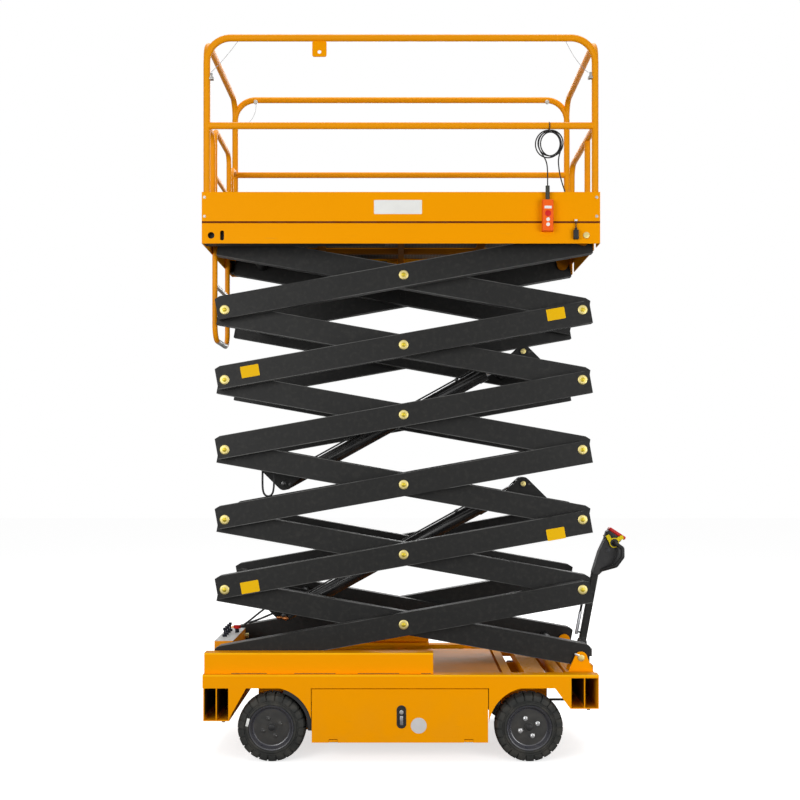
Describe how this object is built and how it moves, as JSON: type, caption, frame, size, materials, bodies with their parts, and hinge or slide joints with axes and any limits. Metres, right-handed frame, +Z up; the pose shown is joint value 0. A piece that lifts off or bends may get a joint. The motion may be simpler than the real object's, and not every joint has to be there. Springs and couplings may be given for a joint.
{
  "type": "scissor lift",
  "caption": "Tiller-steered scissor lift on solid tyres, with crossed black arms, two lift cylinders and a railed platform with gate and ladder.",
  "frame": {"origin": "on the ground, under the middle of the overall length and width", "axes": "+Z up, +X towards the tiller end, Y across the machine"},
  "size_m": [2.745, 1.2603, 4.5211],
  "materials": {
    "orange_paint": "semi-gloss",
    "arm_black": "satin",
    "axle_black": "satin",
    "tyre": "matt",
    "rim": "satin",
    "chrome_rod": "polished",
    "roller": "satin",
    "black_plastic": "matt",
    "battery_case": "matt",
    "deck_plate": "satin",
    "pendant_orange": "satin",
    "cable_black": "matt",
    "yellow_plastic": "satin",
    "red_plastic": "satin"
  },
  "bodies": {
    "chassis": {"chassis_frame": "orange_paint", "base_tracks": "orange_paint", "equipment_box": "orange_paint", "battery_block": "battery_case", "drive_axle": "axle_black", "steer_axle": "axle_black", "control_box": "orange_paint", "control_switches": "black_plastic", "cover_sheet": "orange_paint"},
    "inner_1": {"inner_frame_1": "arm_black"},
    "outer_1": {"outer_frame_1": "arm_black", "base_rollers": "roller"},
    "inner_2": {"inner_frame_2": "arm_black"},
    "outer_2": {"outer_frame_2": "arm_black"},
    "inner_3": {"inner_frame_3": "arm_black"},
    "outer_3": {"outer_frame_3": "arm_black"},
    "inner_4": {"inner_frame_4": "arm_black"},
    "outer_4": {"outer_frame_4": "arm_black"},
    "inner_5": {"inner_frame_5": "arm_black"},
    "outer_5": {"outer_frame_5": "arm_black"},
    "inner_6": {"inner_frame_6": "arm_black", "platform_rollers": "roller"},
    "outer_6": {"outer_frame_6": "arm_black"},
    "platform": {"platform_frame": "orange_paint", "platform_tracks": "orange_paint", "deck": "deck_plate", "toe_boards": "orange_paint", "guardrail_near": "orange_paint", "guardrail_far": "orange_paint", "end_rails": "orange_paint", "ladder": "orange_paint", "pendant": "pendant_orange", "cable_gland": "orange_paint", "pendant_cable": "cable_black", "pendant_cable_coil": "cable_black", "hook_plate": "orange_paint"},
    "gate": {"gate": "orange_paint"},
    "barrel_low": {"barrel_low": "arm_black"},
    "rod_low": {"rod_low": "chrome_rod"},
    "barrel_up": {"barrel_up": "arm_black"},
    "rod_up": {"rod_up": "chrome_rod"},
    "tiller_column": {"tiller_column": "axle_black"},
    "tiller": {"tiller_shaft": "arm_black", "tiller_head": "black_plastic", "tiller_rockers": "yellow_plastic", "stop_button": "red_plastic"},
    "knuckle_near": {"knuckle_near": "axle_black"},
    "door_near": {"door_near": "orange_paint"},
    "knuckle_far": {"knuckle_far": "axle_black"},
    "door_far": {"door_far": "orange_paint"},
    "tie_rod": {"tie_rod": "axle_black"},
    "drag_link": {"drag_link": "axle_black"},
    "wheel_rear_near": {"tyre_rear_near": "tyre", "rim_rear_near": "rim"},
    "wheel_rear_far": {"tyre_rear_far": "tyre", "rim_rear_far": "rim"},
    "wheel_front_near": {"tyre_front_near": "tyre", "rim_front_near": "rim"},
    "wheel_front_far": {"tyre_front_far": "tyre", "rim_front_far": "rim"}
  },
  "joints": [
    {"name": "lift", "type": "hinge", "parent": "chassis", "child": "inner_1", "pos_m": [1.012, 0, 0.615], "axis": [0, 1, 0], "range_deg": [-7.26, 43.44]},
    {"name": "cross_1", "type": "hinge", "parent": "inner_1", "child": "outer_1", "pos_m": [-0.11911, 0, 0.83601], "axis": [0, 1, 0], "range_deg": [-86.9, 14.52]},
    {"name": "link_2", "type": "hinge", "parent": "outer_1", "child": "inner_2", "pos_m": [1.012, 0, 1.05703], "axis": [0, 1, 0], "range_deg": [-14.52, 86.9]},
    {"name": "cross_2", "type": "hinge", "parent": "inner_2", "child": "outer_2", "pos_m": [-0.11911, 0, 1.27804], "axis": [0, 1, 0], "range_deg": [-86.9, 14.52]},
    {"name": "link_3", "type": "hinge", "parent": "outer_2", "child": "inner_3", "pos_m": [1.012, 0, 1.49905], "axis": [0, 1, 0], "range_deg": [-14.52, 86.9]},
    {"name": "cross_3", "type": "hinge", "parent": "inner_3", "child": "outer_3", "pos_m": [-0.11911, 0, 1.72006], "axis": [0, 1, 0], "range_deg": [-86.9, 14.52]},
    {"name": "link_4", "type": "hinge", "parent": "outer_3", "child": "inner_4", "pos_m": [1.012, 0, 1.94108], "axis": [0, 1, 0], "range_deg": [-14.52, 86.9]},
    {"name": "cross_4", "type": "hinge", "parent": "inner_4", "child": "outer_4", "pos_m": [-0.11911, 0, 2.16209], "axis": [0, 1, 0], "range_deg": [-86.9, 14.52]},
    {"name": "link_5", "type": "hinge", "parent": "outer_4", "child": "inner_5", "pos_m": [1.012, 0, 2.3831], "axis": [0, 1, 0], "range_deg": [-14.52, 86.9]},
    {"name": "cross_5", "type": "hinge", "parent": "inner_5", "child": "outer_5", "pos_m": [-0.11911, 0, 2.60412], "axis": [0, 1, 0], "range_deg": [-86.9, 14.52]},
    {"name": "link_6", "type": "hinge", "parent": "outer_5", "child": "inner_6", "pos_m": [1.012, 0, 2.82513], "axis": [0, 1, 0], "range_deg": [-14.52, 86.9]},
    {"name": "cross_6", "type": "hinge", "parent": "inner_6", "child": "outer_6", "pos_m": [-0.11911, 0, 3.04614], "axis": [0, 1, 0], "range_deg": [-86.9, 14.52]},
    {"name": "platform_pivot", "type": "hinge", "parent": "outer_6", "child": "platform", "pos_m": [1.012, 0, 3.26716], "axis": [0, 1, 0], "range_deg": [-7.27, 43.45]},
    {"name": "barrel_low_foot", "type": "hinge", "parent": "inner_1", "child": "barrel_low", "pos_m": [-0.91888, 0, 0.83639], "axis": [0, 1, 0], "range_deg": [-83.86, 14.01]},
    {"name": "rod_low_slide", "type": "slide", "parent": "barrel_low", "child": "rod_low", "axis": [0.8754, 0, 0.4834], "range_m": [-0.18337, 1.0954]},
    {"name": "barrel_up_foot", "type": "hinge", "parent": "inner_3", "child": "barrel_up", "pos_m": [-0.91888, 0, 1.72044], "axis": [0, 1, 0], "range_deg": [-83.86, 14.01]},
    {"name": "rod_up_slide", "type": "slide", "parent": "barrel_up", "child": "rod_up", "axis": [0.8754, 0, 0.4834], "range_m": [-0.18337, 1.0954]},
    {"name": "steer", "type": "hinge", "parent": "chassis", "child": "tiller_column", "pos_m": [1.114, 0, 0.5], "axis": [0, 0, 1], "range_deg": [-35, 35]},
    {"name": "steer_near", "type": "hinge", "parent": "chassis", "child": "knuckle_near", "pos_m": [0.661, -0.432, 0.2125], "axis": [0, 0, 1], "range_deg": [-35.01, 35.01]},
    {"name": "steer_far", "type": "hinge", "parent": "chassis", "child": "knuckle_far", "pos_m": [0.661, 0.432, 0.2125], "axis": [0, 0, 1], "range_deg": [-35.01, 35.01]},
    {"name": "tie_rod_end", "type": "hinge", "parent": "knuckle_near", "child": "tie_rod", "pos_m": [0.551, -0.432, 0.217], "axis": [0, 0, 1], "range_deg": [-35.01, 35.01]},
    {"name": "drag_link_end", "type": "hinge", "parent": "tiller_column", "child": "drag_link", "pos_m": [1.004, 0, 0.262], "axis": [0, 0, 1], "range_deg": [-35.01, 35.01]},
    {"name": "tiller_tilt", "type": "hinge", "parent": "tiller_column", "child": "tiller", "pos_m": [1.086, 0, 0.653], "axis": [0, 1, 0], "range_deg": [-8, 65]},
    {"name": "roll_rear_near", "type": "hinge", "parent": "chassis", "child": "wheel_rear_near", "pos_m": [-0.941, -0.53, 0.2125], "axis": [0, 1, 0], "continuous": true},
    {"name": "roll_rear_far", "type": "hinge", "parent": "chassis", "child": "wheel_rear_far", "pos_m": [-0.941, 0.53, 0.2125], "axis": [0, 1, 0], "continuous": true},
    {"name": "roll_front_near", "type": "hinge", "parent": "knuckle_near", "child": "wheel_front_near", "pos_m": [0.661, -0.53, 0.2125], "axis": [0, 1, 0], "continuous": true},
    {"name": "roll_front_far", "type": "hinge", "parent": "knuckle_far", "child": "wheel_front_far", "pos_m": [0.661, 0.53, 0.2125], "axis": [0, 1, 0], "continuous": true},
    {"name": "door_near_hinge", "type": "hinge", "parent": "chassis", "child": "door_near", "pos_m": [-0.136, -0.597, 0.133], "axis": [1, 0, 0], "range_deg": [0, 90]},
    {"name": "door_far_hinge", "type": "hinge", "parent": "chassis", "child": "door_far", "pos_m": [-0.136, 0.597, 0.133], "axis": [-1, 0, 0], "range_deg": [0, 90]},
    {"name": "gate_hinge", "type": "hinge", "parent": "platform", "child": "gate", "pos_m": [-1.343, 0.334, 3.7], "axis": [0, 0, 1], "range_deg": [0, 90]}
  ],
  "couplings": [
    {"joint": "cross_1", "follows": "lift", "ratio": -2},
    {"joint": "link_2", "follows": "lift", "ratio": 2},
    {"joint": "cross_2", "follows": "lift", "ratio": -2},
    {"joint": "link_3", "follows": "lift", "ratio": 2},
    {"joint": "cross_3", "follows": "lift", "ratio": -2},
    {"joint": "link_4", "follows": "lift", "ratio": 2},
    {"joint": "cross_4", "follows": "lift", "ratio": -2},
    {"joint": "link_5", "follows": "lift", "ratio": 2},
    {"joint": "cross_5", "follows": "lift", "ratio": -2},
    {"joint": "link_6", "follows": "lift", "ratio": 2},
    {"joint": "cross_6", "follows": "lift", "ratio": -2},
    {"joint": "platform_pivot", "follows": "lift", "ratio": 1},
    {"joint": "barrel_low_foot", "follows": "lift", "ratio": -1.93},
    {"joint": "rod_low_slide", "follows": "lift", "m_per_rad": 1.444},
    {"joint": "barrel_up_foot", "follows": "lift", "ratio": -1.93},
    {"joint": "rod_up_slide", "follows": "lift", "m_per_rad": 1.444},
    {"joint": "steer_near", "follows": "steer", "ratio": 1},
    {"joint": "steer_far", "follows": "steer", "ratio": 1},
    {"joint": "tie_rod_end", "follows": "steer", "ratio": -1},
    {"joint": "drag_link_end", "follows": "steer", "ratio": -1}
  ]
}
